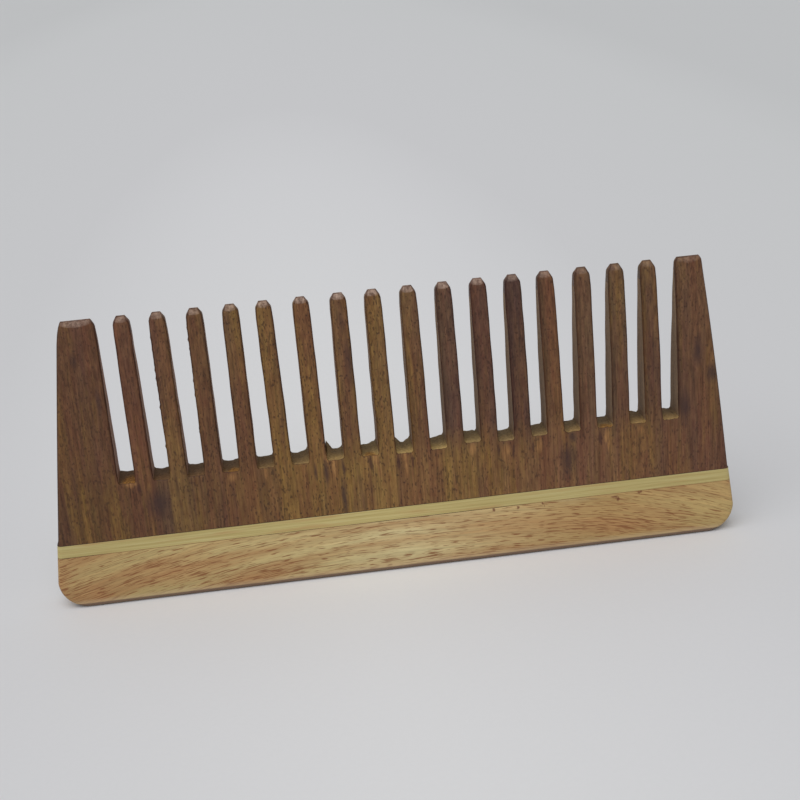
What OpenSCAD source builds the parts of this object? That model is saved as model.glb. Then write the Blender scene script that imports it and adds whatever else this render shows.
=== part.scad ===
// Wide tooth comb, sawn from a dark hardwood board whose grain runs along the
// teeth, and stiffened by two strips of pale wood glued across its base.
// It stands on its spine: X runs along the comb, Y through its thickness and
// Z up along the teeth. The origin is the middle of the resting face.

/* [Body] */
// Length of the comb where it is longest, just above its bottom corners
comb_length = 193; // [188:1:200]
// Height from the resting face to the tooth tips
comb_height = 82.2; // [78:0.1:90]
// Thickness of the spine and of the board below the slots
body_thickness = 9.3; // [8:0.1:11]
// Thickness that the faces would reach at the tips, before the tips are bevelled
tip_thickness = 3; // [3:0.1:5]
// Radius of the two bottom corners, seen from the front
corner_radius = 8; // [5:0.5:10]
// Radius that eases the long edges of the spine
edge_radius = 0.8; // [0.4:0.1:2]

/* [Strips] */
// Height of the spine strip at the base
spine_height = 15.8; // [12:0.1:18]
// Height of the thin accent strip above it
accent_height = 3.6; // [3:0.1:6]
// Thickness of each glue line
glue_thickness = 0.15; // [0.1:0.05:0.2]

/* [Teeth] */
// Distance between neighbouring tooth centres
pitch = 9.47; // [9.3:0.01:9.5]
// Width of a narrow tooth at its root
root_width = 4.9; // [4.5:0.1:5]
// Width of a narrow tooth at its tip
tip_width = 4.6; // [4:0.1:4.8]
// Middle of the row of teeth: one end guard is a little wider than the other
row_middle = 2.5; // [1:0.1:3]
// Height of the slot floors above the resting face
slot_floor = 36.1; // [32:0.1:40]
// Height of the bevel on the front and back of each tip
tip_bevel = 1.4; // [1:0.1:2.5]
// Size of the bevel on the sides of each tooth's tip and of each guard's inner corner
side_bevel = 1.1; // [0.8:0.1:1.5]
// Size of the bevel on each guard's outer corner
guard_bevel = 0.6; // [0.3:0.1:1.5]
// How far the saw wandered off the even pitch at the teeth's roots
saw_wander = 0.4; // [0:0.1:0.5]
// How far most teeth lean to the left at their tips
common_lean = 0.4; // [0:0.1:0.6]
// How far the two crooked teeth lean to the left at their tips
crooked_lean = 0.8; // [0.5:0.1:1.1]
// How far the uneven slot floors lie below or above the even ones
floor_unevenness = 0.4; // [0:0.1:0.6]

/* [Ends] */
// How far each end of the strips leans inwards between the bottom corner and the board
base_lean = 1.5; // [0:0.1:2]
// How far the board's ends stop short of the strips' ends
end_step = 0.3; // [0:0.1:1]
// How far the board's left end leans inwards on the way up to the tips
left_lean = 8.8; // [4:0.1:9.5]
// How far the board's right end leans inwards on the way up to the tips
right_lean = 6.6; // [4:0.1:9.5]

/* [Hidden] */
$fn = 48;
tooth_count = 16;
// Narrow teeth, counted from 0 at the left, that stand straight, and two that lean twice as far
straight_teeth = [2, 3, 6, 13, 14];
crooked_teeth = [4, 12];
// Slots, counted from 0 at the left, that were sawn too deep or not deep enough
deep_slots = [8, 9, 11];
shallow_slots = [10];
// The saw's wander is a wave: degrees from one tooth to the next, and where along the row it peaks
wander_step = 22;
wander_peak = 9.8;
// The slot floors climb by this much along the row, most of it near the right end
floor_climb = 0.7;
climb_power = 3;
// How far the floor of the first slot lies below the named height
floor_start = 0.2;
half_length = comb_length / 2;
half_base_top = half_length - base_lean;
half_body = body_thickness / 2;
spine_glue_z = spine_height;
accent_z = spine_glue_z + glue_thickness;
blade_glue_z = accent_z + accent_height;
blade_z = blade_glue_z + glue_thickness;
tooth_height = comb_height - slot_floor;
// The faces curve in above the slots as part of a large circle
face_drop = (body_thickness - tip_thickness) / 2;
face_radius = (tooth_height * tooth_height + face_drop * face_drop) / (2 * face_drop);
face_steps = 12;
arc_steps = 12;
// Half the width of the flat on top of each tip
flat_tip = 0.5;
// Width of the sloping corner at the bottom of each slot
kerf_corner = 0.4;
// How far cutting shapes reach beyond the comb
reach = 10;

// Points of an arc round centre c, from angle a to angle b
function arc(c, r, a, b) =
    [for (i = [0:arc_steps]) c + r * [cos(a + (b - a) * i / arc_steps), sin(a + (b - a) * i / arc_steps)]];

// Share of the way from a slot floor to the tips at height z
function rise(z) = max(0, z - slot_floor) / tooth_height;

// Half the comb's thickness at height z
function half_thickness(z) =
    half_body - (face_radius - sqrt(pow(face_radius, 2) - pow(max(0, z - slot_floor), 2)));

// Half the width of a narrow tooth at height z
function half_width(z) = (root_width + (tip_width - root_width) * rise(z)) / 2;

// Whether number i is in a list
function among(i, list) = len([for (k = list) if (k == i) k]) > 0;

// Sideways offset of tooth i's root: a slow wave along the comb
function root_shift(i) = saw_wander * cos(wander_step * (i - wander_peak));

// Sideways lean of tooth i's tip
function tip_drift(i) =
    among(i, crooked_teeth) ? -crooked_lean : among(i, straight_teeth) ? 0 : -common_lean;

// Height of slot i's floor, which rises slightly towards the right end
function floor_height(i) =
    slot_floor - floor_start + floor_climb * pow(i / tooth_count, climb_power)
    + (among(i, shallow_slots) ? floor_unevenness : among(i, deep_slots) ? -floor_unevenness : 0);

// Middle of narrow tooth i, counted from 0, at height z
function tooth_x(i, z) =
    row_middle + (i - (tooth_count - 1) / 2) * pitch + root_shift(i) + tip_drift(i) * rise(z);

// Sides of slot i at height z: slot 0 lies between the left guard and tooth 0
function slot_left(i, z) =
    i == 0 ? tooth_x(0, slot_floor) - pitch + half_width(z) : tooth_x(i - 1, z) + half_width(z);
function slot_right(i, z) =
    i == tooth_count ? tooth_x(i - 1, slot_floor) + pitch - half_width(z) : tooth_x(i, z) - half_width(z);

// Ends of the board at height z
function left_end(z) =
    end_step - half_base_top + left_lean * (z - blade_z) / (comb_height - blade_z);
function right_end(z) =
    half_base_top - end_step - right_lean * (z - blade_z) / (comb_height - blade_z);

// Front outline of the strips at the base, up to the top of the upper glue line
module base_outline() {
    polygon(concat(
        arc([corner_radius - half_length, corner_radius], corner_radius, 180, 270),
        arc([half_length - corner_radius, corner_radius], corner_radius, 270, 360),
        [[half_base_top, blade_z], [-half_base_top, blade_z]]
    ));
}

// Front outline of the board without its slots
module board_outline() {
    bevel_z = comb_height - guard_bevel;
    polygon([
        [left_end(blade_z), blade_z],
        [right_end(blade_z), blade_z],
        [right_end(bevel_z), bevel_z],
        [right_end(comb_height) - guard_bevel, comb_height],
        [left_end(comb_height) + guard_bevel, comb_height],
        [left_end(bevel_z), bevel_z],
    ]);
}

// One slot, open at the top, which flares where it bevels the tips beside it
module slot(i) {
    floor_z = floor_height(i);
    bevel_z = comb_height - side_bevel;
    polygon([
        [slot_left(i, floor_z) + kerf_corner, floor_z],
        [slot_right(i, floor_z) - kerf_corner, floor_z],
        [slot_right(i, floor_z), floor_z + 2 * kerf_corner],
        [slot_right(i, bevel_z), bevel_z],
        [slot_right(i, comb_height) + side_bevel, comb_height],
        [slot_right(i, comb_height) + side_bevel, comb_height + reach],
        [slot_left(i, comb_height) - side_bevel, comb_height + reach],
        [slot_left(i, comb_height) - side_bevel, comb_height],
        [slot_left(i, bevel_z), bevel_z],
        [slot_left(i, floor_z), floor_z + 2 * kerf_corner],
    ]);
}

// End view of the comb: y across, z up
module section() {
    bevel_z = comb_height - tip_bevel;
    face = [for (i = [0:face_steps]) slot_floor + (bevel_z - slot_floor) * i / face_steps];
    polygon(concat(
        arc([edge_radius - half_body, edge_radius], edge_radius, 180, 270),
        arc([half_body - edge_radius, edge_radius], edge_radius, 270, 360),
        [for (z = face) [half_thickness(z), z]],
        [[flat_tip, comb_height], [-flat_tip, comb_height]],
        [for (i = [face_steps:-1:0]) [-half_thickness(face[i]), face[i]]]
    ));
}

// The children, a front outline, given the comb's thickness
module shaped() {
    intersection() {
        translate([0, body_thickness, 0]) rotate([90, 0, 0])
            linear_extrude(2 * body_thickness) children();
        rotate([90, 0, 90]) translate([0, 0, -half_length - reach])
            linear_extrude(comb_length + 2 * reach) section();
    }
}

// The band of the base between two heights
module band(from_z, to_z) {
    shaped() intersection() {
        base_outline();
        translate([-half_length - reach, from_z])
            square([comb_length + 2 * reach, to_z - from_z]);
    }
}

module tooth_blade() {
    color("saddlebrown") shaped() difference() {
        board_outline();
        for (i = [0:tooth_count]) slot(i);
    }
}

module blade_glue_line() {
    color("peru") band(blade_glue_z, blade_z);
}

module accent_strip() {
    color("khaki") band(accent_z, blade_glue_z);
}

module spine_glue_line() {
    color("peru") band(spine_glue_z, accent_z);
}

module spine() {
    color("burlywood") band(0, spine_glue_z);
}

tooth_blade();
blade_glue_line();
accent_strip();
spine_glue_line();
spine();
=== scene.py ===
"""Looks of the wide tooth comb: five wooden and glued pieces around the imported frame."""
import math

import bmesh
import bpy
import numpy as np
from mathutils import Matrix, Vector, geometry, noise


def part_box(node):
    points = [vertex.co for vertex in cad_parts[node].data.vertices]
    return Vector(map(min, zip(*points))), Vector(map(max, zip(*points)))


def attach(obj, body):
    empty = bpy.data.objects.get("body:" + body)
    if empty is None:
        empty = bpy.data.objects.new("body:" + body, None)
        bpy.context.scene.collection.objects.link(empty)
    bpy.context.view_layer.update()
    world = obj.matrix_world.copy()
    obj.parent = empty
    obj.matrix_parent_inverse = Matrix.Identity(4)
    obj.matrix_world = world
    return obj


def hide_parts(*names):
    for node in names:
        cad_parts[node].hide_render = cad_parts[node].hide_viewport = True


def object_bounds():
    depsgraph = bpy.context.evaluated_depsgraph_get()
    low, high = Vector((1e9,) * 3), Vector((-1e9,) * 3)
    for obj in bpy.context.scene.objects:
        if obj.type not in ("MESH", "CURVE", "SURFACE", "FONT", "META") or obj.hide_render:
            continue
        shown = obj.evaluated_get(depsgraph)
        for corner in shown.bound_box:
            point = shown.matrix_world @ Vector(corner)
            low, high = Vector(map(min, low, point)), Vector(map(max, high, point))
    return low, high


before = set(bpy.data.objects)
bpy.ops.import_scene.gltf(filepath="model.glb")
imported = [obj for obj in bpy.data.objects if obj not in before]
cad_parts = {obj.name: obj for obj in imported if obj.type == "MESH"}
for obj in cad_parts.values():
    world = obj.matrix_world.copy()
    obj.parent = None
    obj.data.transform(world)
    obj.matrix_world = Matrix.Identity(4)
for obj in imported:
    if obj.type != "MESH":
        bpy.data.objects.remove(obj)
CAD_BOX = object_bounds()
MM = 0.001

# Heights and lengths of the comb, in millimetres, from the frame
COMB_LOW, COMB_HIGH = (Vector(corner) / MM for corner in CAD_BOX)
HALF_BODY = COMB_HIGH.y
COMB_TOP = COMB_HIGH.z
SPINE_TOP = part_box("spine")[1][2] / MM
ACCENT_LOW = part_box("accent_strip")[0][2] / MM
ACCENT_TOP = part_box("accent_strip")[1][2] / MM
BOARD_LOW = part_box("tooth_blade")[0][2] / MM
BOARD_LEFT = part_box("tooth_blade")[0][0] / MM
BOARD_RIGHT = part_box("tooth_blade")[1][0] / MM

# The design's own dimensions, in millimetres
CORNER_RADIUS = 8
BASE_LEAN = 1.5
LEFT_LEAN = 8.8
RIGHT_LEAN = 6.6
TOOTH_COUNT = 16
PITCH = 9.47
ROW_MIDDLE = 2.5
ROOT_WIDTH = 4.9
TIP_WIDTH = 4.6
SLOT_FLOOR = 36.1
TIP_THICKNESS = 3
TIP_BEVEL = 1.4
SIDE_BEVEL = 1.1
GUARD_BEVEL = 0.6
FLAT_TIP = 0.5

# Its sawing errors: how far the saw wandered along the row of teeth, with the wave's step from
# tooth to tooth in degrees, how the slot floors climb, and how the teeth lean to the left.
# Teeth and slots are counted from 0 at the left
SAW_WANDER = 0.4
WANDER_STEP = 22
WANDER_PEAK = 9.8
FLOOR_CLIMB = 0.7
CLIMB_POWER = 3
FLOOR_START = 0.2
COMMON_LEAN = 0.4
CROOKED_LEAN = 0.8
FLOOR_UNEVENNESS = 0.4
STRAIGHT_TEETH = (2, 3, 6, 13, 14)
CROOKED_TEETH = (4, 12)
DEEP_SLOTS = (8, 9, 11)
SHALLOW_SLOTS = (10,)

# How each slot floor breaks away towards the back: its height at the left side, the
# middle and the right side of the slot, relative to its front edge
BACK_FLOOR = [(0.5, 0.1, 0.2), (0.3, -0.3, 0.4), (0.2, -0.3, 0.4), (0.2, -0.4, 0.5),
              (0.1, -0.1, 0.4), (0.2, -0.2, 1.0), (3.2, -0.6, 0.2), (0.1, 0, 1.1),
              (2.4, -0.4, 1.1), (0.1, 0.1, 0.9), (0, 0, 0), (0.2, -0.3, 0.2),
              (-0.4, 0, -0.1), (-1.1, -0.4, 0), (-1.1, -0.4, -0.3), (-0.1, 0.5, -0.1), (-0.5, 0.2, -0.5)]

# A tip's corner: how far below the top and in from the side each point is, in bevel sizes
TIP_CORNER = ((4.5, 0), (2, 0.1), (1.5, 0.22), (0.15, 0.98), (0, 1.12))
LEFT_GUARD_CORNER = ((10, 0), (5.5, 0.22), (2.6, 0.62), (0.8, 1.1), (0, 1.5))
# The right guard's inner corner is bevelled less than the teeth's corners
GUARD_INNER_BEVEL = 0.75
# How much thinner a guard is at its sides than in its middle, near the tips, and how far from
# its middle that holds, in half widths: past its sides, but short of the next tooth
GUARD_CROWN = 0.75
GUARD_REACH = 1.2

# Radius of the rounded edges of the board, the strips and the slot floors, and the most that
# it can be, as a share of half the thickness
EDGE_RADIUS = 0.9
BASE_EDGE_RADIUS = 1.3
FLOOR_EDGE_RADIUS = 0.3
THICKNESS_SHARE = 0.7
# Width and height of the sloping corner at the bottom of a slot, and the height above the
# floor where the tooth's edges have their full radius
KERF_WIDTH = 0.4
KERF_HEIGHT = 0.5
KERF_BLEND = 3
# How uneven the faces, the sawn sides and the slot floors are
FACE_WAVES = 0.05
SIDE_WAVES = 0.1
FLOOR_WAVES = 0.28
# The splintered stretch of teeth, how far above the slot floors its splinters start, how deep
# they are, and how high the noise has to be to make one
SPLINTERED = (-64, -50)
SPLINTER_START = 6
SPLINTER_DEPTH = 0.55
SPLINTER_NOISE = 0.25

# Fineness of the meshes: distance between points along the outlines, over the faces and up the
# bevels, points round a bottom corner, rings round an edge and rows through the thickness
OUTLINE_STEP = 0.8
BASE_STEP = 1.5 * OUTLINE_STEP
FACE_STEP = 1.7
BEVEL_STEP = 0.24
CORNER_STEPS = 12
EDGE_RINGS = 5
WALL_ROWS = 4
# How many rings next to each face belong to the face, and not to the darker rim, whose darkness is painted
# shade on the rounded edges
FACE_RINGS = 2
# How far a face's points stay from its outline: from its ends, below the bevels, and elsewhere
LOW_MARGIN = 0.9
HIGH_MARGIN = 0.6
FACE_MARGIN = 0.55
BEVEL_MARGIN = 0.2
# The shortest an inset may be at a sharp corner of the outline
MITRE_LIMIT = 0.35
# How far a piece reaches past its height before it is cut, so that its cut ends have no rounded edge
CUT_MARGIN = 3
SHARP_ANGLE = math.radians(26)
SEED = Vector((3.7, 1.9, 8.3))

# How far the floor reaches from the comb, in metres
FLOOR_REACH = 12

# The camera: its place in metres, and its heading, downward tilt and roll in degrees
CAMERA_PLACE = Vector((-0.0317, -0.3801, 0.1958))
CAMERA_HEADING = 5.2
CAMERA_DOWN = 20.95
CAMERA_ROLL = 4.52
CAMERA_LENS = 66.7
CAMERA_SENSOR = 36

# The room's light, and the one large soft light's strength, spread in degrees and heading
ROOM_COLOUR = (0.97, 0.985, 1, 1)
ROOM_STRENGTH = 0.37
LIGHT_ENERGY = 1.62
LIGHT_SPREAD = 60
LIGHT_HEADING = Vector((0.28, 0.5, -1))


# ---------------------------------------------------------------- shape of the comb

def rise(z):
    """Share of the way from the slot floors to the tips."""
    return max(0, z - SLOT_FLOOR) / (COMB_TOP - SLOT_FLOOR)


def half_width(z):
    """Half the width of a narrow tooth at height z."""
    return (ROOT_WIDTH + (TIP_WIDTH - ROOT_WIDTH) * rise(z)) / 2


def tip_drift(i):
    """Sideways lean of tooth i's tip."""
    if i in CROOKED_TEETH:
        return -CROOKED_LEAN
    return 0 if i in STRAIGHT_TEETH else -COMMON_LEAN


def tooth_x(i, z):
    """Middle of tooth i at height z."""
    wander = SAW_WANDER * math.cos(math.radians(WANDER_STEP * (i - WANDER_PEAK)))
    return ROW_MIDDLE + (i - (TOOTH_COUNT - 1) / 2) * PITCH + wander + tip_drift(i) * rise(z)


def floor_height(i):
    """Height of slot i's floor, which rises slightly towards the right end."""
    uneven = 1 if i in SHALLOW_SLOTS else -1 if i in DEEP_SLOTS else 0
    climb = FLOOR_CLIMB * (i / TOOTH_COUNT) ** CLIMB_POWER
    return SLOT_FLOOR - FLOOR_START + climb + FLOOR_UNEVENNESS * uneven


def slot_left(i, z):
    """Left side of slot i at height z; slot 0 lies between the left guard and tooth 0."""
    if i == 0:
        return tooth_x(0, SLOT_FLOOR) - PITCH + half_width(z)
    return tooth_x(i - 1, z) + half_width(z)


def slot_right(i, z):
    """Right side of slot i at height z."""
    if i == TOOTH_COUNT:
        return tooth_x(i - 1, SLOT_FLOOR) + PITCH - half_width(z)
    return tooth_x(i, z) - half_width(z)


def left_end(z):
    """Left end of the board at height z."""
    return BOARD_LEFT + LEFT_LEAN * (z - BOARD_LOW) / (COMB_TOP - BOARD_LOW)


def right_end(z):
    """Right end of the board at height z."""
    return BOARD_RIGHT - RIGHT_LEAN * (z - BOARD_LOW) / (COMB_TOP - BOARD_LOW)


def guard_middle(x, z):
    """Middle and half width of the end guard at x's end of the comb, at height z."""
    if x < 0:
        a, b = left_end(z), slot_left(0, z)
    else:
        a, b = slot_right(TOOTH_COUNT, z), right_end(z)
    return (a + b) / 2, (b - a) / 2


def crown(x, z):
    """How far the faces of the guards round off towards their sides; the teeth's do not."""
    middle, half = guard_middle(x, z)
    across = abs(x - middle) / half
    return GUARD_CROWN * rise(z) * min(1, across) ** 2 if across < GUARD_REACH else 0


def half_thickness(x, z):
    """Half the comb's thickness: flat below the slots, then a long curve to bevelled tips."""
    drop = HALF_BODY - TIP_THICKNESS / 2
    curve = HALF_BODY - drop * rise(z) ** 2 - crown(x, z)
    curve -= FACE_WAVES * (1 + noise.noise(Vector((x * 0.12, 0, z * 0.09)) + SEED))
    bevel_start = HALF_BODY - drop * rise(COMB_TOP - TIP_BEVEL) ** 2
    bevel = FLAT_TIP + (bevel_start - FLAT_TIP) * (COMB_TOP - z) / TIP_BEVEL
    return min(curve, bevel)


# ---------------------------------------------------------------- outlines

def subdivided(corners, step):
    """The closed outline through the corners, with points no further apart than step.
    Each corner is (x, z, edge radius, surface), and its surface runs to the next corner."""
    points = []
    for here, there in zip(corners, corners[1:] + corners[:1]):
        length = math.hypot(there[0] - here[0], there[1] - here[1])
        count = max(1, math.ceil(length / step))
        for k in range(count):
            t = k / count
            points.append((here[0] + (there[0] - here[0]) * t, here[1] + (there[1] - here[1]) * t,
                           here[2] + (there[2] - here[2]) * t, here[3]))
    return points


def base_outline(top):
    """Outline of the strips at the base, anticlockwise, up to height top."""
    corners = []
    half = COMB_HIGH.x
    for centre, start in ((CORNER_RADIUS - half, 180), (half - CORNER_RADIUS, 270)):
        for k in range(CORNER_STEPS + 1):
            angle = math.radians(start + 90 * k / CORNER_STEPS)
            corners.append((centre + CORNER_RADIUS * math.cos(angle),
                            CORNER_RADIUS + CORNER_RADIUS * math.sin(angle), BASE_EDGE_RADIUS, "end"))
    lean = BASE_LEAN * (top - CORNER_RADIUS) / (BOARD_LOW - CORNER_RADIUS)
    corners.append((half - lean, top, BASE_EDGE_RADIUS, "end"))
    corners.append((lean - half, top, BASE_EDGE_RADIUS, "end"))
    return subdivided(corners, BASE_STEP)


def tip(left, right, left_bevel=SIDE_BEVEL, right_bevel=SIDE_BEVEL, left_corner=TIP_CORNER):
    """Top of a tooth or guard from its right side to its left, with softened bevelled corners.
    left and right give the side's place at a height."""
    def corner(side, bevel, inward, shape):
        return [(side(COMB_TOP - drop * bevel) + inward * inset * bevel, COMB_TOP - drop * bevel)
                for drop, inset in shape]
    points = corner(right, right_bevel, -1, TIP_CORNER)
    points += reversed(corner(left, left_bevel, 1, left_corner))
    last = (*points.pop(), EDGE_RADIUS, "side")
    return [(x, z, EDGE_RADIUS, "tip") for x, z in points] + [last]


def slot_corners(i):
    """The slot's right side, floor and left side, going down and up again."""
    floor = floor_height(i)
    full, low = floor + KERF_BLEND, floor + KERF_HEIGHT
    right, left = slot_right(i, floor), slot_left(i, floor)
    return [(slot_right(i, full), full, EDGE_RADIUS, "side"),
            (right, low, FLOOR_EDGE_RADIUS, "floor"),
            (right - KERF_WIDTH, floor, FLOOR_EDGE_RADIUS, "floor"),
            (left + KERF_WIDTH, floor, FLOOR_EDGE_RADIUS, "floor"),
            (left, low, FLOOR_EDGE_RADIUS, "side"),
            (slot_left(i, full), full, EDGE_RADIUS, "side")]


def board_outline(bottom):
    """Outline of the toothed board, anticlockwise, from height bottom up."""
    corners = [(left_end(bottom), bottom, EDGE_RADIUS, "end"),
               (right_end(bottom), bottom, EDGE_RADIUS, "end")]
    corners += tip(lambda z: slot_right(TOOTH_COUNT, z), right_end, GUARD_INNER_BEVEL, GUARD_BEVEL)
    for i in range(TOOTH_COUNT, 0, -1):
        corners += slot_corners(i)
        corners += tip(lambda z: slot_right(i - 1, z), lambda z: slot_left(i, z))
    corners += slot_corners(0)
    corners += tip(left_end, lambda z: slot_left(0, z), GUARD_BEVEL, left_corner=LEFT_GUARD_CORNER)
    corners[-1] = corners[-1][:3] + ("end",)
    return subdivided(corners, OUTLINE_STEP)


# ---------------------------------------------------------------- solid from an outline

def inset_directions(outline):
    """For each outline point, the inward direction that keeps an inset parallel to the outline."""
    xy = np.array([(p[0], p[1]) for p in outline])
    ahead = np.roll(xy, -1, axis=0) - xy
    ahead /= np.linalg.norm(ahead, axis=1)[:, None]
    inward = np.stack([-ahead[:, 1], ahead[:, 0]], axis=1)
    before = np.roll(inward, 1, axis=0)
    joint = inward + before
    scale = 1 + (inward * before).sum(axis=1)
    return joint / np.maximum(scale, MITRE_LIMIT)[:, None]


def floor_shift(x, z, surface, across):
    """How far a point on a slot floor moves up; across is 0 at the front and 1 at the back."""
    if surface != "floor":
        return 0
    i = min(range(TOOTH_COUNT + 1), key=lambda k: abs(slot_left(k, z) + slot_right(k, z) - 2 * x))
    left, middle, right = BACK_FLOOR[i]
    u = (x - slot_left(i, z)) / (slot_right(i, z) - slot_left(i, z))
    back = left + (middle - left) * 2 * u if u < 0.5 else middle + (right - middle) * (2 * u - 1)
    ragged = FLOOR_WAVES * noise.noise(Vector((x * 1.3, across * 4, i * 7)) + SEED)
    return back * across ** 1.5 + ragged


def side_shift(x, y, z, surface):
    """Small sideways error of the sawn sides."""
    if surface == "end":
        return 0
    shift = SIDE_WAVES * noise.noise(Vector((x * 0.35, y * 0.08, z * 0.14)) + SEED)
    if SPLINTERED[0] < x < SPLINTERED[1] and z > SLOT_FLOOR + SPLINTER_START and y < 0:
        chip = noise.noise(Vector((x * 0.2, y, z * 1.9)) + SEED)
        shift -= SPLINTER_DEPTH * max(0, chip - SPLINTER_NOISE)
    return shift


def ring_levels():
    """Each ring's wall place, from -1 at the front to 1 at the back, and its angle round the
    edge, from a quarter turn at the face to 0 on the wall."""
    angles = [math.pi / 2 * k / EDGE_RINGS for k in range(EDGE_RINGS, 0, -1)]
    levels = [(-1, angle) for angle in angles]
    levels += [(place, 0) for place in np.linspace(-1, 1, WALL_ROWS + 1)]
    return levels + [(1, angle) for angle in reversed(angles)]


def ring_point(point, direction, place, angle):
    """Where the ring at a wall place and an edge angle passes a point of the outline.
    The wall's unevenness fades out round the edge."""
    x, z, radius, surface = point
    r = min(radius, THICKNESS_SHARE * half_thickness(x, z))
    inset = r * (1 - math.cos(angle))
    px, pz = x + direction[0] * inset, z + direction[1] * inset
    y = place * (half_thickness(px, pz) - r * (1 - math.sin(angle)))
    fade = math.cos(angle) ** 0.5 if angle < 1.5 else 0
    pz += fade * floor_shift(x, z, surface, (y / HALF_BODY + 1) / 2)
    px += fade * side_shift(x, y, z, surface) * (1 if direction[0] > 0 else -1)
    return px, y, pz


def wall(outline, rows):
    """The faces between neighbouring rings, and the kind of surface that each belongs to."""
    faces, surfaces = [], []
    count = len(outline)
    for row, (lower, upper) in enumerate(zip(rows, rows[1:])):
        on_wall = EDGE_RINGS <= row < EDGE_RINGS + WALL_ROWS
        # rings round an edge, away from the face, form the rim, which carries painted shade
        edge = "rim" if FACE_RINGS <= row < 2 * EDGE_RINGS + WALL_ROWS - FACE_RINGS else "face"
        for k in range(count):
            n = (k + 1) % count
            faces.append((lower[k], upper[k], upper[n], lower[n]))
            surfaces.append(outline[k][3] if on_wall else edge)
    return faces, surfaces


def solid(name, outline, kinds):
    """A closed mesh between two faces, with rounded edges round the outline.
    kinds gives each surface's material slot."""
    directions = inset_directions(outline)
    vertices, rows = [], []
    for place, angle in ring_levels():
        rows.append(list(range(len(vertices), len(vertices) + len(outline))))
        vertices += [ring_point(*pair, place, angle) for pair in zip(outline, directions)]
    faces, surfaces = wall(outline, rows)
    inner, triangles = filled([(vertices[k][0], vertices[k][2]) for k in rows[0]])
    for row, side in ((rows[0], -1), (rows[-1], 1)):
        index = row + list(range(len(vertices), len(vertices) + len(inner)))
        vertices += [(x, side * half_thickness(x, z), z) for x, z in inner]
        for triangle in triangles:
            corners = [index[k] for k in triangle]
            faces.append(corners if side < 0 else corners[::-1])
            surfaces.append("face")
    return mesh_object(name, vertices, faces, surfaces, kinds)


def inside(points, polygon):
    """Which points lie inside the polygon."""
    x, z = points[:, 0][:, None], points[:, 1][:, None]
    ax, az = polygon[:, 0], polygon[:, 1]
    bx, bz = np.roll(ax, -1), np.roll(az, -1)
    spans = (az > z) != (bz > z)
    with np.errstate(divide="ignore", invalid="ignore"):
        crossing = ax + (z - az) * (bx - ax) / (bz - az)
    return (spans & (x < crossing)).sum(axis=1) % 2 == 1


def filled(flat):
    """Triangles that fill a closed outline, with a grid of points inside it for the curved face."""
    polygon = np.array(flat)
    low, high = polygon.min(axis=0), polygon.max(axis=0)
    bevel_low = COMB_TOP - TIP_BEVEL
    rows = [(z, FACE_STEP) for z in np.arange(low[1] + LOW_MARGIN, bevel_low - HIGH_MARGIN, FACE_STEP)]
    rows += [(z, FACE_STEP / 3) for z in np.arange(bevel_low, COMB_TOP, BEVEL_STEP)]
    grid = np.array([(x, z) for z, step in rows for x in np.arange(low[0], high[0], step)])
    grid = grid[inside(grid, polygon)]
    distance = np.array([np.hypot(*(polygon - p).T).min() for p in grid])
    on_bevel = grid[:, 1] > bevel_low - HIGH_MARGIN / 2
    grid = grid[distance > np.where(on_bevel, BEVEL_MARGIN, FACE_MARGIN)]
    points = [Vector(p) for p in flat] + [Vector(p) for p in grid.tolist()]
    ring = list(range(len(flat)))
    result = geometry.delaunay_2d_cdt(points, [], [ring], 1, 1e-6)
    new_points, _, triangles, sources = result[:4]
    place = {}
    inner = []
    for k, source in enumerate(sources):
        on_ring = [s for s in source if s < len(flat)]
        if on_ring:
            place[k] = on_ring[0]
        else:
            place[k] = len(flat) + len(inner)
            inner.append(tuple(new_points[k]))
    return inner, [[place[k] for k in triangle] for triangle in triangles]


def mesh_object(name, vertices, faces, surfaces, kinds):
    """A Blender object from points in millimetres, with each face's material slot."""
    mesh = bpy.data.meshes.new(name)
    mesh.from_pydata([(x * MM, y * MM, z * MM) for x, y, z in vertices], [], faces)
    mesh.polygons.foreach_set("material_index", [kinds[s] for s in surfaces])
    mesh.update()
    piece = bpy.data.objects.new(name, mesh)
    bpy.context.scene.collection.objects.link(piece)
    return piece


def cut(piece, height, keep_above):
    """Cuts a closed piece at a height and closes it again."""
    work = bmesh.new()
    work.from_mesh(piece.data)
    result = bmesh.ops.bisect_plane(work, geom=work.verts[:] + work.edges[:] + work.faces[:],
                                    plane_co=(0, 0, height * MM), plane_no=(0, 0, 1), dist=1e-7,
                                    clear_inner=keep_above, clear_outer=not keep_above)
    edges = [e for e in result["geom_cut"] if isinstance(e, bmesh.types.BMEdge)]
    closed = bmesh.ops.edgeloop_fill(work, edges=edges)
    for face in closed["faces"]:
        face.material_index = 0
    bmesh.ops.triangulate(work, faces=closed["faces"])
    bmesh.ops.recalc_face_normals(work, faces=work.faces[:])
    work.to_mesh(piece.data)
    work.free()


def finish_piece(piece, material_list, node):
    """Smooths a piece, gives it its materials, and lets it stand for its CAD node."""
    piece.data.shade_smooth()
    piece.data.set_sharp_from_angle(angle=SHARP_ANGLE)
    for material in material_list:
        piece.data.materials.append(material)
    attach(piece, "root")
    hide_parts(node)


def band(name, outline, low, high):
    """One strip or glue line of the base, between two heights."""
    piece = solid(name, outline, dict.fromkeys(("face", "rim", "end"), 0))
    cut(piece, high, keep_above=False)
    if low > 0:
        cut(piece, low, keep_above=True)
    return piece


# ---------------------------------------------------------------- materials

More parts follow.
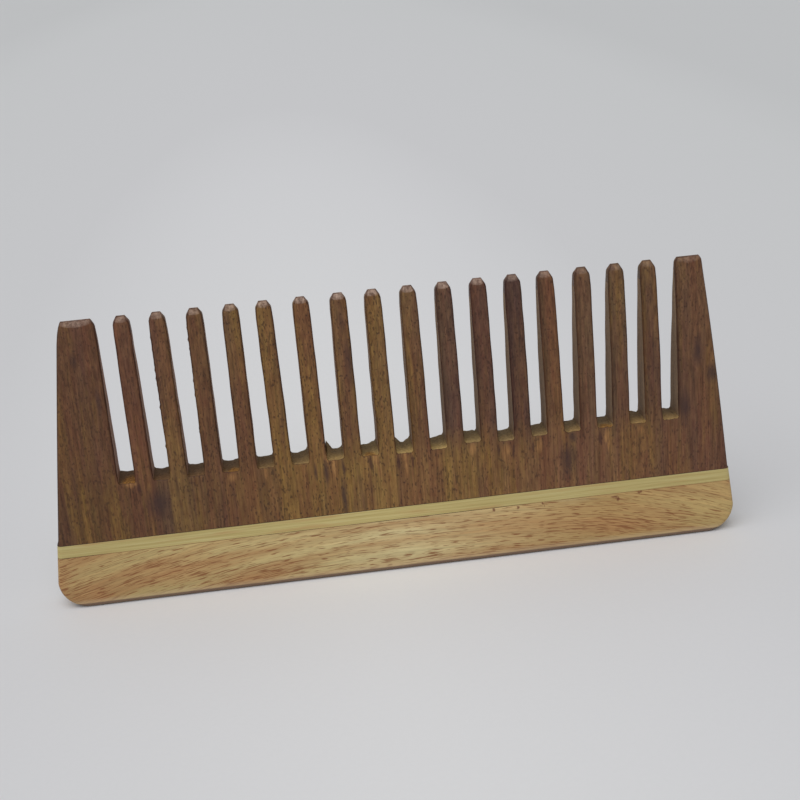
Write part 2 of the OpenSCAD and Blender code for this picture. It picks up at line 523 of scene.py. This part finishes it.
class Nodes:
    """Short calls for building one material's nodes."""

    def __init__(self, name):
        self.material = bpy.data.materials.new(name)
        self.material.use_nodes = True
        self.tree = self.material.node_tree
        self.shader = self.tree.nodes["Principled BSDF"]
        self.place = self.add("ShaderNodeTexCoord").outputs["Object"]

    def add(self, kind, **settings):
        """A new node of a kind, with the given settings."""
        node = self.tree.nodes.new(kind)
        for key, value in settings.items():
            setattr(node, key, value)
        return node

    def link(self, source, socket):
        """Feeds a socket from another node's output, or sets it to a plain value."""
        if hasattr(source, "is_output"):
            self.tree.links.new(source, socket)
        else:
            socket.default_value = source

    def scaled(self, scale, offset=(0, 0, 0), place=None):
        """The place, or another one, times a scale along each axis, plus an offset."""
        node = self.add("ShaderNodeMapping")
        self.link(place or self.place, node.inputs["Vector"])
        node.inputs["Scale"].default_value = scale
        node.inputs["Location"].default_value = offset
        return node.outputs["Vector"]

    def noise(self, scale, detail=2, roughness=0.5, offset=(0, 0, 0), place=None):
        """Noise with a number of features per metre along each axis."""
        node = self.add("ShaderNodeTexNoise")
        self.link(self.scaled(scale, offset, place), node.inputs["Vector"])
        node.inputs["Scale"].default_value = 1
        node.inputs["Detail"].default_value = detail
        node.inputs["Roughness"].default_value = roughness
        return node.outputs["Fac"]

    def ramp(self, value, stops):
        """Colours or grey values at places along a value from 0 to 1."""
        node = self.add("ShaderNodeValToRGB")
        self.link(value, node.inputs["Fac"])
        elements = node.color_ramp.elements
        while len(elements) < len(stops):
            elements.new(0.5)
        for element, (position, colour) in zip(elements, stops):
            element.position = position
            rgb = [colour] * 3 if isinstance(colour, (int, float)) else colour
            element.color = (*rgb, 1)
        return node.outputs["Color"]

    def span(self, value, low, high, to_low=0, to_high=1):
        """The value taken from one range to another, and held at its ends."""
        node = self.add("ShaderNodeMapRange")
        self.link(value, node.inputs["Value"])
        ends = {"From Min": low, "From Max": high, "To Min": to_low, "To Max": to_high}
        for name, number in ends.items():
            node.inputs[name].default_value = number
        return node.outputs["Result"]

    def math(self, operation, a, b=0):
        """An operation on one or two values."""
        node = self.add("ShaderNodeMath", operation=operation)
        self.link(a, node.inputs[0])
        self.link(b, node.inputs[1])
        return node.outputs["Value"]

    def mix(self, factor, a, b, blend="MIX"):
        """Colour a, turned towards colour b by a share from 0 to 1."""
        node = self.add("ShaderNodeMix", data_type="RGBA", blend_type=blend)
        self.link(factor, node.inputs["Factor"])
        for socket, colour in ((node.inputs[6], a), (node.inputs[7], b)):
            self.link(colour if hasattr(colour, "is_output") else (*colour, 1), socket)
        return node.outputs[2]

    def along_comb(self):
        """0 at the comb's left end and 1 at its right end."""
        return self.span(self.axes()[0], COMB_LOW.x * MM, COMB_HIGH.x * MM)

    def multiplied(self, colour, by, factor=1):
        """The colour times another, by a share from 0 to 1."""
        return self.mix(factor, colour, by, "MULTIPLY")

    def axes(self):
        """The place in metres, as three values."""
        node = self.add("ShaderNodeSeparateXYZ")
        self.link(self.place, node.inputs["Vector"])
        return node.outputs["X"], node.outputs["Y"], node.outputs["Z"]

    def vector(self, x, y, z):
        """A place from three values."""
        node = self.add("ShaderNodeCombineXYZ")
        for value, socket in zip((x, y, z), node.inputs):
            self.link(value, socket)
        return node.outputs["Vector"]

    def shaken(self, scale, amount):
        """The place in the material, shaken sideways by noise, so that spots get natural rims."""
        node = self.add("ShaderNodeVectorMath", operation="MULTIPLY_ADD")
        shake = self.add("ShaderNodeTexNoise")
        self.link(self.scaled(scale), shake.inputs["Vector"])
        shake.inputs["Scale"].default_value = 1
        shake.inputs["Detail"].default_value = 3
        self.link(shake.outputs["Color"], node.inputs[0])
        node.inputs[1].default_value = [a * MM for a in amount]
        self.link(self.place, node.inputs[2])
        moved = self.add("ShaderNodeVectorMath", operation="SUBTRACT")
        self.link(node.outputs["Vector"], moved.inputs[0])
        moved.inputs[1].default_value = [a * MM / 2 for a in amount]
        return moved.outputs["Vector"]

    def spot(self, place, x, z, width, height, depth=4):
        """A soft spot on the front face, 1 at its middle and 0 at its rim, in millimetres."""
        scale = Vector((2 / width, 1 / depth, 2 / height)) / MM
        centre = Vector((x, -HALF_BODY, z)) * MM
        offset = [-centre[k] * scale[k] for k in range(3)]
        node = self.add("ShaderNodeTexGradient", gradient_type="SPHERICAL")
        self.link(self.scaled(scale, offset, place), node.inputs["Vector"])
        return node.outputs["Fac"]

    def spots(self, place, rows):
        """Soft spots at all the given places, each with its size, in millimetres."""
        total = 0
        for row in rows:
            one = self.spot(place, *row)
            total = one if total == 0 else self.math("MAXIMUM", total, one)
        return total

    def finish(self, colour, roughness, height, bump=0.3, distance=0.0002, gloss=0.2):
        """Feeds the shader, with a bump of a strength and a depth in metres, and gives the material."""
        self.link(colour, self.shader.inputs["Base Color"])
        self.link(roughness, self.shader.inputs["Roughness"])
        self.shader.inputs["Specular IOR Level"].default_value = gloss
        node = self.add("ShaderNodeBump")
        node.inputs["Strength"].default_value = bump
        node.inputs["Distance"].default_value = distance
        self.link(height, node.inputs["Height"])
        self.link(node.outputs["Normal"], self.shader.inputs["Normal"])
        return self.material


def linear(red, green, blue):
    """A colour in the shader's linear values from screen values of 0 to 255."""
    return tuple(((v / 255 + 0.055) / 1.055) ** 2.4 for v in (red, green, blue))


def placed(stops):
    """Ramp stops from places along the comb in millimetres and screen colours."""
    length = COMB_HIGH.x - COMB_LOW.x
    return [((x - COMB_LOW.x) / length, linear(*colour)) for x, colour in stops]


# ---------------------------------------------------------------- dark board

# The board's colour along the comb: below the slots, and in the teeth
BOARD_COLOURS = [(-96, (88, 60, 42)), (-84, (102, 75, 45)), (-74, (94, 68, 46)), (-62, (98, 72, 54)),
                 (-48, (114, 85, 52)), (-30, (136, 102, 58)), (-18, (142, 112, 58)), (-4, (140, 108, 62)),
                 (8, (138, 106, 64)), (24, (130, 98, 60)), (44, (126, 90, 62)), (54, (118, 84, 62)),
                 (68, (128, 94, 60)), (84, (114, 82, 60)), (96, (108, 76, 56))]
TOOTH_COLOURS = [(-92, (98, 68, 47)), (-68, (110, 76, 54)), (-59, (114, 82, 56)), (-49, (108, 78, 52)),
                 (-40, (112, 84, 56)), (-31, (130, 98, 56)), (-21, (128, 96, 58)), (-12, (116, 84, 56)),
                 (-2, (132, 100, 60)), (7, (118, 88, 58)), (17, (96, 70, 59)), (26, (98, 70, 56)),
                 (36, (84, 60, 52)), (45, (118, 84, 56)), (54, (108, 80, 58)), (64, (104, 80, 60)),
                 (73, (102, 74, 56)), (88, (112, 81, 57))]
# How yellow the teeth can get, from the left end of the comb at 0 to its right end at 1
YELLOW_TEETH = [(0, 0.6), (0.3, 0.9), (0.55, 1), (0.575, 0.15), (0.7, 0.25), (0.75, 0.8), (1, 0.6)]
# Painted shade down the teeth's left sides, where their rounded edges turn away from the light:
# how dark the teeth's left sides are along the comb, up to the right guard's left side, what the
# painted shade multiplies the colour by, and how far outside the tooth it starts, in pitches
PAINTED_SHADE_ALONG_TEETH = [(0.4, 0), (0.62, 0.9), (0.93, 0.9), (0.95, 0)]
PAINTED_SHADE_FACTOR = (0.55, 0.58, 0.55)
SIDE_MARGIN = 0.05
# How strong the pores' dark colour is, and how pale the tips' bevels are along the comb: partly their paler
# end grain, partly painted highlight where they catch the light
PORE_DEPTHS = [(0.1, 0.4), (0.4, 0.62), (0.8, 0.42)]
TIP_GRAIN_AND_HIGHLIGHT = [(0, 0.55), (0.1, 0.45), (0.25, 0.5), (0.4, 0.9), (0.6, 0.75), (0.8, 0.2)]
# How much wider than a tip and higher than its bevels its pale ellipse is, in millimetres, and
# how far that reaches behind the front face, which is well past the back
TOOTH_FACET_MARGIN = 0.8
GUARD_FACET_MARGIN = 0.6
FACET_HEIGHT_MARGIN = 0.5
FACET_DEPTH = 60
# Heights from the slot floors between which the board's colours turn into the teeth's
TEETH_FADE = (-4, 6)
# How far the colours along the comb wander sideways, in metres
COLOUR_WANDER = 0.008
# Marks on the front face, each with its place, width and height in millimetres
DARK_STREAKS = [(-15.1, 24.5, 2.6, 17), (-14.6, 33, 1.6, 8), (-19.5, 32.5, 2.4, 11),
                (-22.5, 33, 1.2, 7), (48.5, 28, 6, 15), (50, 35, 3, 5), (-66, 29, 9, 12),
                (-11.5, 76, 4, 12), (-10.4, 64, 3.4, 20), (90, 49, 5, 8), (86, 56, 4, 12),
                (82, 40, 5, 14), (-83, 72, 2, 9), (-78, 60, 2, 12)]
TEAR_OUTS = [(-17.2, 33.5, 1.6, 9), (-18.8, 37, 2.6, 4), (-5.3, 35.2, 2.8, 8), (-4.9, 32, 1.4, 8),
             (2.4, 34.4, 2.4, 5), (2.8, 30.8, 1.6, 9), (30.9, 33.4, 2.8, 5.4), (30.9, 31.2, 1.6, 8),
             (40.4, 33.4, 2, 6), (59.6, 33.6, 2.8, 5), (60.3, 31.2, 1.3, 6), (-73, 35.4, 4.4, 2.8),
             (21.5, 34.4, 2.6, 4), (-45.2, 34.6, 3.2, 4), (-36, 34.4, 2, 6), (69.5, 34.8, 2.4, 4)]
# Painted shade at the sides of the torn places, each with its place, width and height in millimetres
PAINTED_TEAR_SHADE = [(-6.9, 33.4, 1.4, 6), (28.9, 33, 1.4, 6), (33, 32.6, 1.2, 6), (57.6, 33.2, 1.3, 5),
               (4.6, 33, 1.1, 6), (0.6, 32.8, 1.1, 5), (38.6, 33.4, 1.2, 5), (-70.5, 34, 1.6, 4)]
# The sawn sides' colour along the comb
SAWN_COLOURS = [(-96, (170, 135, 117)), (-30, (156, 125, 104)), (0, (146, 119, 94)), (96, (146, 122, 98))]
# The slot floors' colours along the comb, at the back and at the front edge
BACK_FLOOR_COLOURS = [(-96, (104, 80, 62)), (-40, (118, 96, 72)), (-10, (140, 118, 84)),
                      (30, (134, 114, 84)), (96, (122, 100, 76))]
FRONT_FLOOR_COLOURS = [(-96, (108, 80, 58)), (-50, (120, 90, 60)), (-20, (172, 142, 92)),
                       (10, (196, 166, 106)), (30, (160, 134, 92)), (60, (178, 144, 92)),
                       (96, (168, 138, 92))]
# Slot floors whose front edge is torn down to golden wood
GOLD_FLOORS = [(-72.6, 35.8, 6, 9, 7), (-44.5, 35.6, 4, 5), (-7, 35.6, 5, 4), (59.5, 36, 5, 5)]


def banded(n, along, teeth):
    """The board's colour along the comb, with soft red, olive and purple bands along the grain."""
    colour = n.mix(teeth, n.ramp(along, placed(BOARD_COLOURS)), n.ramp(along, placed(TOOTH_COLOURS)))
    red = n.noise((260, 160, 14), detail=4, roughness=0.6)
    colour = n.mix(n.ramp(red, [(0.42, 0), (0.62, 0.6)]), colour, linear(112, 70, 50))
    olive = n.noise((230, 140, 16), detail=4, roughness=0.6, offset=(7, 3, 1))
    yellowness = n.mix(teeth, (1, 1, 1), n.ramp(along, YELLOW_TEETH))
    olive = n.math("MULTIPLY", n.ramp(olive, [(0.48, 0), (0.68, 0.6)]), yellowness)
    colour = n.mix(olive, colour, linear(142, 110, 54))
    purple = n.noise((190, 110, 14), detail=4, roughness=0.6, offset=(2, 9, 4))
    return n.mix(n.ramp(purple, [(0.53, 0), (0.7, 0.5)]), colour, linear(88, 60, 54))


def open_pores(n):
    """Short dark pores, closer together in some places than in others."""
    groups = n.span(n.noise((90, 90, 40), offset=(3, 1, 5)), 0.35, 0.65, -0.05, 0.05)
    dots = n.math("ADD", n.noise((2500, 2500, 1000), detail=0, offset=(1, 1, 1)), groups)
    return n.ramp(dots, [(0.64, 0), (0.74, 1)])


def marked(n, colour, fibres):
    """The colour with dark streaks, and with pale torn places below the slots and painted shade at their
    sides.
    Also gives the torn places."""
    place = n.shaken((420, 420, 150), (2.2, 0, 3))
    dark = n.ramp(n.spots(place, DARK_STREAKS), [(0.05, 0), (0.8, 0.75)])
    colour = n.mix(dark, colour, linear(66, 48, 46))
    # painted shade at the sides of the torn places
    shade = n.ramp(n.spots(place, PAINTED_TEAR_SHADE), [(0.05, 0), (0.5, 0.7)])
    colour = n.mix(shade, colour, linear(74, 48, 40))
    torn = n.ramp(n.spots(place, TEAR_OUTS), [(0.08, 0), (0.7, 0.75)])
    torn_colour = n.ramp(fibres, [(0.38, linear(124, 84, 52)), (0.62, linear(178, 132, 82))])
    return n.mix(torn, colour, torn_colour), torn


def tip_facets():
    """Ellipses that cover the bevelled facets of all the tips, on the front and the back."""
    size = (2 * TIP_BEVEL + FACET_HEIGHT_MARGIN, FACET_DEPTH)
    width = TIP_WIDTH + TOOTH_FACET_MARGIN
    rows = [(tooth_x(i, COMB_TOP), COMB_TOP, width, *size) for i in range(TOOTH_COUNT)]
    for x in (BOARD_LEFT, BOARD_RIGHT):
        middle, half = guard_middle(x, COMB_TOP)
        rows.append((middle, COMB_TOP, 2 * half + GUARD_FACET_MARGIN, *size))
    return rows


def with_tip_grain_and_highlight(n, colour, along, mottle):
    """The colour, with the tips' bevels paler and mottled: partly worn, paler end grain, partly painted
    highlight where they catch the light.
    """
    facet = n.ramp(n.spots(n.place, tip_facets()), [(0.02, 0), (0.1, 0.55), (0.5, 1)])
    pale = n.ramp(mottle, [(0.35, linear(104, 80, 68)), (0.65, linear(196, 168, 150))])
    return n.mix(n.math("MULTIPLY", facet, n.ramp(along, TIP_GRAIN_AND_HIGHLIGHT)), colour, pale)


def left_side(n, x, z):
    """How far a place on a tooth lies from the tooth's left side, in pitches, plus SIDE_MARGIN."""
    first = (TOOTH_COUNT - 1) / 2 - ROW_MIDDLE / PITCH
    number = n.math("ADD", n.math("DIVIDE", x, PITCH * MM), first)
    angle = n.math("MULTIPLY", n.math("SUBTRACT", number, WANDER_PEAK), math.radians(WANDER_STEP))
    wander = n.math("MULTIPLY", n.math("COSINE", angle), SAW_WANDER / PITCH)
    lean = n.span(z, SLOT_FLOOR * MM, COMB_TOP * MM, 0, COMMON_LEAN / PITCH)
    middle = n.math("ADD", n.math("SUBTRACT", number, wander), lean)
    return n.math("FRACT", n.math("ADD", middle, ROOT_WIDTH / 2 / PITCH + SIDE_MARGIN))


def with_painted_shade_on_sides(n, colour, along, teeth, painted_shade_strength):
    """The colour, with soft painted shade down the left sides of the right-hand teeth, where their rounded
    edges turn away from the light.
    """
    x, _, z = n.axes()
    side = n.ramp(left_side(n, x, z), [(SIDE_MARGIN, painted_shade_strength), (0.14, painted_shade_strength / 2), (0.26, 0)])
    side = n.math("MULTIPLY", side, n.ramp(along, PAINTED_SHADE_ALONG_TEETH))
    return n.multiplied(colour, PAINTED_SHADE_FACTOR, n.math("MULTIPLY", side, teeth))


def dark_wood(name, tone, painted_shade_strength):
    """Dark hardwood with its grain up the teeth: fine fibres, short dark pores and broad colour bands.
    tone darkens it all, as painted shade on the rims, and the side shade strength from 0 to 1 paints shade
    down the teeth's left sides, where their rounded edges turn away from the light."""
    n = Nodes(name)
    x, _, z = n.axes()
    wander = n.math("MULTIPLY", n.math("SUBTRACT", n.noise((60, 60, 16)), 0.5), COLOUR_WANDER)
    along = n.span(n.math("ADD", x, wander), COMB_LOW.x * MM, COMB_HIGH.x * MM)
    teeth = n.span(z, *((SLOT_FLOOR + height) * MM for height in TEETH_FADE))
    colour = banded(n, along, teeth)
    mottle = n.noise((900, 900, 330), detail=3, roughness=0.7, offset=(4, 4, 4))
    tints = [(0.32, (0.84, 0.76, 0.78)), (0.52, (1, 1, 1)), (0.7, (1.12, 1.16, 1.04))]
    colour = n.multiplied(colour, n.ramp(mottle, tints))
    fibres = n.noise((1900, 1900, 90), detail=4, roughness=0.65)
    colour = n.multiplied(colour, n.ramp(fibres, [(0.32, 0.62), (0.68, 1.34)]), 0.9)
    pores = open_pores(n)
    colour = n.mix(n.math("MULTIPLY", pores, n.ramp(along, PORE_DEPTHS)), colour, linear(54, 36, 30))
    colour, torn = marked(n, colour, fibres)
    # paler end grain and painted highlight on the tips' bevels
    colour = with_tip_grain_and_highlight(n, colour, along, mottle)
    # painted shade down the right-hand teeth's left sides, where their rounded edges turn away from the
    # light
    colour = with_painted_shade_on_sides(n, colour, along, teeth, painted_shade_strength)
    height = n.math("SUBTRACT", n.math("MULTIPLY", fibres, 0.5), n.math("ADD", pores, torn))
    return n.finish(n.multiplied(colour, tone), n.span(fibres, 0.3, 0.7, 0.4, 0.56), height, 0.4)


def sawn_wood():
    """The sides of the teeth, left by the saw: duller, with fine marks across the grain."""
    n = Nodes("dark_wood_sawn_sides")
    marks = n.noise((500, 500, 2200), detail=2)
    fibres = n.noise((1500, 2200, 70), detail=3)
    colour = n.ramp(n.along_comb(), placed(SAWN_COLOURS))
    colour = n.multiplied(colour, n.ramp(fibres, [(0.3, 0.8), (0.7, 1.2)]))
    colour = n.multiplied(colour, n.ramp(marks, [(0.35, 0.7), (0.65, 1.2)]), 0.5)
    height = n.math("ADD", marks, fibres)
    return n.finish(colour, n.span(marks, 0.3, 0.7, 0.6, 0.8), height, 0.4, gloss=0.08)


def end_grain():
    """The slot floors: end grain, where the wood is paler and broken, most of all at the front edge."""
    n = Nodes("dark_wood_slot_floors")
    _, y, _ = n.axes()
    cells = n.noise((1500, 1500, 1500), detail=4, roughness=0.7)
    patches = n.math("SUBTRACT", n.noise((200, 260, 260), detail=2), 0.5)
    along = n.along_comb()
    depth = n.math("ADD", y, n.math("MULTIPLY", patches, 0.006))
    front = n.span(depth, -HALF_BODY * MM, 0.3 * HALF_BODY * MM, 1, 0)
    back_colour = n.ramp(along, placed(BACK_FLOOR_COLOURS))
    colour = n.mix(front, back_colour, n.ramp(along, placed(FRONT_FLOOR_COLOURS)))
    colour = n.multiplied(colour, n.ramp(cells, [(0.3, 0.55), (0.7, 1.3)]), 0.85)
    gold = n.ramp(n.spots(n.shaken((500, 500, 500), (1.5, 0, 1.5)), GOLD_FLOORS), [(0.05, 0), (0.4, 0.8)])
    gold_colour = n.ramp(cells, [(0.4, linear(108, 72, 40)), (0.6, linear(172, 124, 60))])
    return n.finish(n.mix(gold, colour, gold_colour), 0.75, cells, 0.6, 0.0003, gloss=0.1)


# ---------------------------------------------------------------- strips at the base

# How bright the straw strip is along the comb
STRAW_SHADES = [(0, 0.86), (0.3, 0.93), (0.48, 0.98), (0.66, 0.9), (1, 0.88)]
# The tan spine's colour along the comb, and its marks, as for the dark board
SPINE_COLOURS = [(-96, (192, 162, 110)), (-80, (196, 170, 116)), (-55, (202, 179, 124)),
                 (-25, (214, 193, 138)), (2, (224, 206, 154)), (22, (212, 186, 134)),
                 (42, (196, 164, 112)), (60, (190, 156, 102)), (78, (198, 168, 112)),
                 (96, (202, 174, 116))]
SPINE_DOTS = [(26.6, 15.2, 1, 1.5), (33.5, 15.2, 1, 1.4), (40.7, 15.5, 0.9, 1.4), (61.4, 14.8, 2.6, 1),
              (62.4, 14.2, 1, 2.2), (68.8, 15.4, 1.8, 1), (41, 14.5, 0.7, 0.7)]
RED_AREAS = [(-42, 2, 50, 14), (-64, 9, 34, 10), (-88, 2, 16, 18), (64, 6, 44, 10), (-95, 8, 6, 14),
             (8, 0, 110, 11)]
# How bright the spine is from its resting face to its top
SPINE_SHADES = [(0, 0.82), (0.3, 0.91), (0.6, 1), (1, 1)]
# How strongly the spine's grain bends down towards its left and right ends
LEFT_BEND = 1.5
RIGHT_BEND = 14
# Heights between which the painted highlight line next to the resting face fades out, and the painted shade
# band below it, where the rounded edge turns under towards the floor
FOOT_HIGHLIGHT = (1.4, 3)
FOOT_SHADE = (1.2, 1.5)


def accent_wood():
    """Straw wood with long faint fibres along the comb."""
    n = Nodes("straw_wood_along_comb")
    grain = n.noise((30, 1100, 2000), detail=4, roughness=0.6)
    patches = n.noise((60, 200, 700), detail=3)
    colour = n.ramp(grain, [(0.3, linear(184, 164, 104)), (0.5, linear(204, 186, 124)),
                            (0.7, linear(216, 202, 144))])
    colour = n.mix(n.ramp(patches, [(0.52, 0), (0.72, 0.6)]), colour, linear(192, 150, 98))
    colour = n.multiplied(colour, n.ramp(n.along_comb(), STRAW_SHADES))
    return n.finish(colour, n.span(grain, 0.3, 0.7, 0.45, 0.58), grain, 0.25)


def arched(n):
    """The place in the spine with its height bent, so that the grain sinks towards both ends."""
    x, y, z = n.axes()
    left = n.math("POWER", n.math("ABSOLUTE", n.math("MINIMUM", x, 0)), 2)
    right = n.math("POWER", n.math("MAXIMUM", x, 0), 3)
    bend = n.math("ADD", n.math("MULTIPLY", left, LEFT_BEND), n.math("MULTIPLY", right, RIGHT_BEND))
    ripple = n.math("MULTIPLY", n.noise((22, 22, 60), detail=2), 0.004)
    return n.vector(x, y, n.math("ADD", n.math("ADD", z, bend), ripple))


def flecks_along(n, place, reds):
    """Short red-brown flecks in two sizes, closer together in the red areas."""
    dashes = n.math("MAXIMUM", n.noise((150, 1700, 3300), detail=1, roughness=0.4, place=place),
                    n.noise((290, 1700, 3700), detail=1, roughness=0.4, offset=(5, 2, 8), place=place))
    dense = n.math("ADD", dashes, n.span(reds, 0, 0.6, -0.025, 0.035))
    return n.ramp(dense, [(0.59, 0), (0.67, 1)])


def with_painted_foot_light(n, colour):
    """A painted highlight line and a painted shade band along the rounded edge next to the resting face,
    where it turns under towards the floor.
    """
    _, _, z = n.axes()
    # painted highlight line just above the rounded foot
    line = n.span(z, FOOT_HIGHLIGHT[0] * MM, FOOT_HIGHLIGHT[1] * MM)
    colour = n.mix(n.ramp(line, [(0, 0.5), (0.3, 0.35), (0.8, 0)]), colour, linear(208, 184, 146))
    # painted shade band on the rounded foot, where it turns under towards the floor
    foot_shade_share = n.span(z, FOOT_SHADE[0] * MM, FOOT_SHADE[1] * MM, 0.9, 0)
    return n.mix(foot_shade_share, colour, linear(118, 96, 82))


def spine_wood():
    """Tan wood along the comb: arched growth bands and many short red-brown flecks."""
    n = Nodes("tan_wood_along_comb")
    place = arched(n)
    grain = n.noise((40, 700, 1500), detail=5, roughness=0.65, place=place)
    broad = n.noise((18, 60, 210), detail=4, place=place)
    colour = n.ramp(n.along_comb(), placed(SPINE_COLOURS))
    colour = n.mix(n.ramp(broad, [(0.46, 0), (0.64, 0.75)]), colour, linear(182, 138, 92))
    colour = n.mix(n.ramp(broad, [(0.3, 0.6), (0.42, 0)]), colour, linear(214, 196, 146))
    colour = n.multiplied(colour, n.ramp(grain, [(0.3, 0.78), (0.7, 1.16)]), 0.9)
    upwards = n.span(n.axes()[2], 0, SPINE_TOP * MM)
    colour = n.multiplied(colour, n.ramp(upwards, SPINE_SHADES))
    reds = n.spots(n.shaken((90, 90, 90), (14, 0, 6)), RED_AREAS)
    colour = n.mix(n.ramp(reds, [(0.1, 0), (0.9, 0.4)]), colour, linear(184, 132, 88))
    flecks = flecks_along(n, place, reds)
    colour = n.mix(n.math("MULTIPLY", flecks, 0.8), colour, linear(134, 84, 52))
    dots = n.spots(n.shaken((900, 900, 900), (1.2, 0, 1.2)), SPINE_DOTS)
    colour = n.mix(n.ramp(dots, [(0.1, 0), (0.6, 0.75)]), colour, linear(112, 62, 46))
    height = n.math("SUBTRACT", grain, n.math("MULTIPLY", flecks, 0.6))
    # the spine's colour gets the painted highlight and painted shade along its foot
    return n.finish(with_painted_foot_light(n, colour), n.span(grain, 0.3, 0.7, 0.45, 0.58), height, 0.25)


def glue(name, pale, dark, places):
    """A glue line: dark where the joint is open, and in a few named places, and pale elsewhere."""
    n = Nodes(name)
    named = n.math("MULTIPLY", n.spots(n.place, places), 0.4)
    open_joint = n.math("ADD", n.noise((60, 60, 60), detail=4), named)
    colour = n.mix(n.ramp(open_joint, [(0.5, 0), (0.66, 1)]), pale, dark)
    return n.finish(colour, 0.6, n.noise((900, 900, 900)), 0.2)


# ---------------------------------------------------------------- pieces

def build_board():
    """The toothed board, with its faces, sawn sides, slot floors and rims in four materials; the rims are
    the face wood darkened as painted shade on the rounded edges.
    """
    kinds = {"face": 0, "end": 0, "tip": 0, "side": 1, "floor": 2, "rim": 3}
    # the faces get the painted shade down the teeth's left sides at full strength
    materials = [dark_wood("dark_wood_along_teeth", (1, 1, 1), 1), sawn_wood(), end_grain(),
                 # the rims: the same wood darkened by a multiplier, as painted shade on the rounded edges
                 dark_wood("dark_wood_painted_shade_rims", (0.62, 0.58, 0.6), 0)]
    piece = solid("toothed_board", board_outline(BOARD_LOW - CUT_MARGIN), kinds)
    cut(piece, BOARD_LOW, keep_above=True)
    finish_piece(piece, materials, "tooth_blade")


def build_base():
    """The two strips and the two glue lines, cut from one outline."""
    upper_glue = glue("glue_under_board", linear(88, 62, 44), linear(54, 36, 30), [(0, BOARD_LOW, 400, 6)])
    lower_glue = glue("glue_over_spine", linear(146, 110, 72), linear(52, 34, 24), [(12, SPINE_TOP, 60, 6)])
    outline = base_outline(BOARD_LOW + CUT_MARGIN)
    upper_film = band("upper_glue_film", outline, ACCENT_TOP, BOARD_LOW)
    finish_piece(upper_film, [upper_glue], "blade_glue_line")
    strip = band("straw_strip", outline, ACCENT_LOW, ACCENT_TOP)
    finish_piece(strip, [accent_wood()], "accent_strip")
    lower_film = band("lower_glue_film", outline, SPINE_TOP, ACCENT_LOW)
    finish_piece(lower_film, [lower_glue], "spine_glue_line")
    spine = band("flecked_spine", outline, 0, SPINE_TOP)
    finish_piece(spine, [spine_wood()], "spine")


# ---------------------------------------------------------------- stage

def floor_material():
    """A pale matt floor, with a painted pool of light: a little brighter round the comb than far behind it.
    """
    n = Nodes("pale_floor")
    # painted pool of light round the comb, fading out further away
    painted_light_pool = n.add("ShaderNodeTexGradient", gradient_type="SPHERICAL")
    n.link(n.scaled((2.6, 0.45, 0.5), (0.02, 0, 0)), painted_light_pool.inputs["Vector"])
    tint = n.ramp(painted_light_pool.outputs["Fac"], [(0, linear(210, 211, 212)), (0.2, linear(215, 216, 217)),
                                        (0.64, linear(218, 218, 220)), (0.76, linear(225, 225, 227)),
                                        (1, linear(234, 234, 235))])
    fine = n.noise((700, 700, 700), detail=3)
    tint = n.multiplied(tint, n.ramp(fine, [(0.3, 0.9), (0.7, 1.1)]), 0.05)
    return n.finish(tint, 0.7, fine, 0.05)


def build_floor():
    """One large flat sheet at the height of the resting face."""
    mesh = bpy.data.meshes.new("floor")
    corners = [(x * FLOOR_REACH, y * FLOOR_REACH, 0) for x, y in ((-1, -1), (1, -1), (1, 1), (-1, 1))]
    mesh.from_pydata(corners, [], [(0, 1, 2, 3)])
    floor = bpy.data.objects.new("floor", mesh)
    bpy.context.scene.collection.objects.link(floor)
    mesh.materials.append(floor_material())


def build_light():
    """An even bright room, and one large soft light from above, a little to the left and in front."""
    world = bpy.data.worlds.new("soft_room")
    world.use_nodes = True
    background = world.node_tree.nodes["Background"]
    background.inputs["Color"].default_value = ROOM_COLOUR
    background.inputs["Strength"].default_value = ROOM_STRENGTH
    bpy.context.scene.world = world
    light = bpy.data.lights.new("soft_light", "SUN")
    light.energy = LIGHT_ENERGY
    light.angle = math.radians(LIGHT_SPREAD)
    lamp = bpy.data.objects.new("soft_light", light)
    lamp.rotation_euler = LIGHT_HEADING.to_track_quat("-Z", "Y").to_euler()
    bpy.context.scene.collection.objects.link(lamp)
    bpy.context.scene.view_settings.view_transform = "Standard"


def build_camera():
    """The camera stands to the left of the comb's middle, above it, and is rolled a little."""
    camera = bpy.data.objects.new("camera", bpy.data.cameras.new("camera"))
    camera.data.lens = CAMERA_LENS
    camera.data.sensor_width = CAMERA_SENSOR
    turn = Matrix.Rotation(math.radians(-CAMERA_HEADING), 4, "Z")
    tilt = Matrix.Rotation(math.radians(90 - CAMERA_DOWN), 4, "X")
    roll = Matrix.Rotation(math.radians(-CAMERA_ROLL), 4, "Z")
    camera.matrix_world = Matrix.Translation(CAMERA_PLACE) @ turn @ tilt @ roll
    bpy.context.scene.collection.objects.link(camera)
    bpy.context.scene.camera = camera


build_camera()
build_light()
build_floor()
build_board()
build_base()
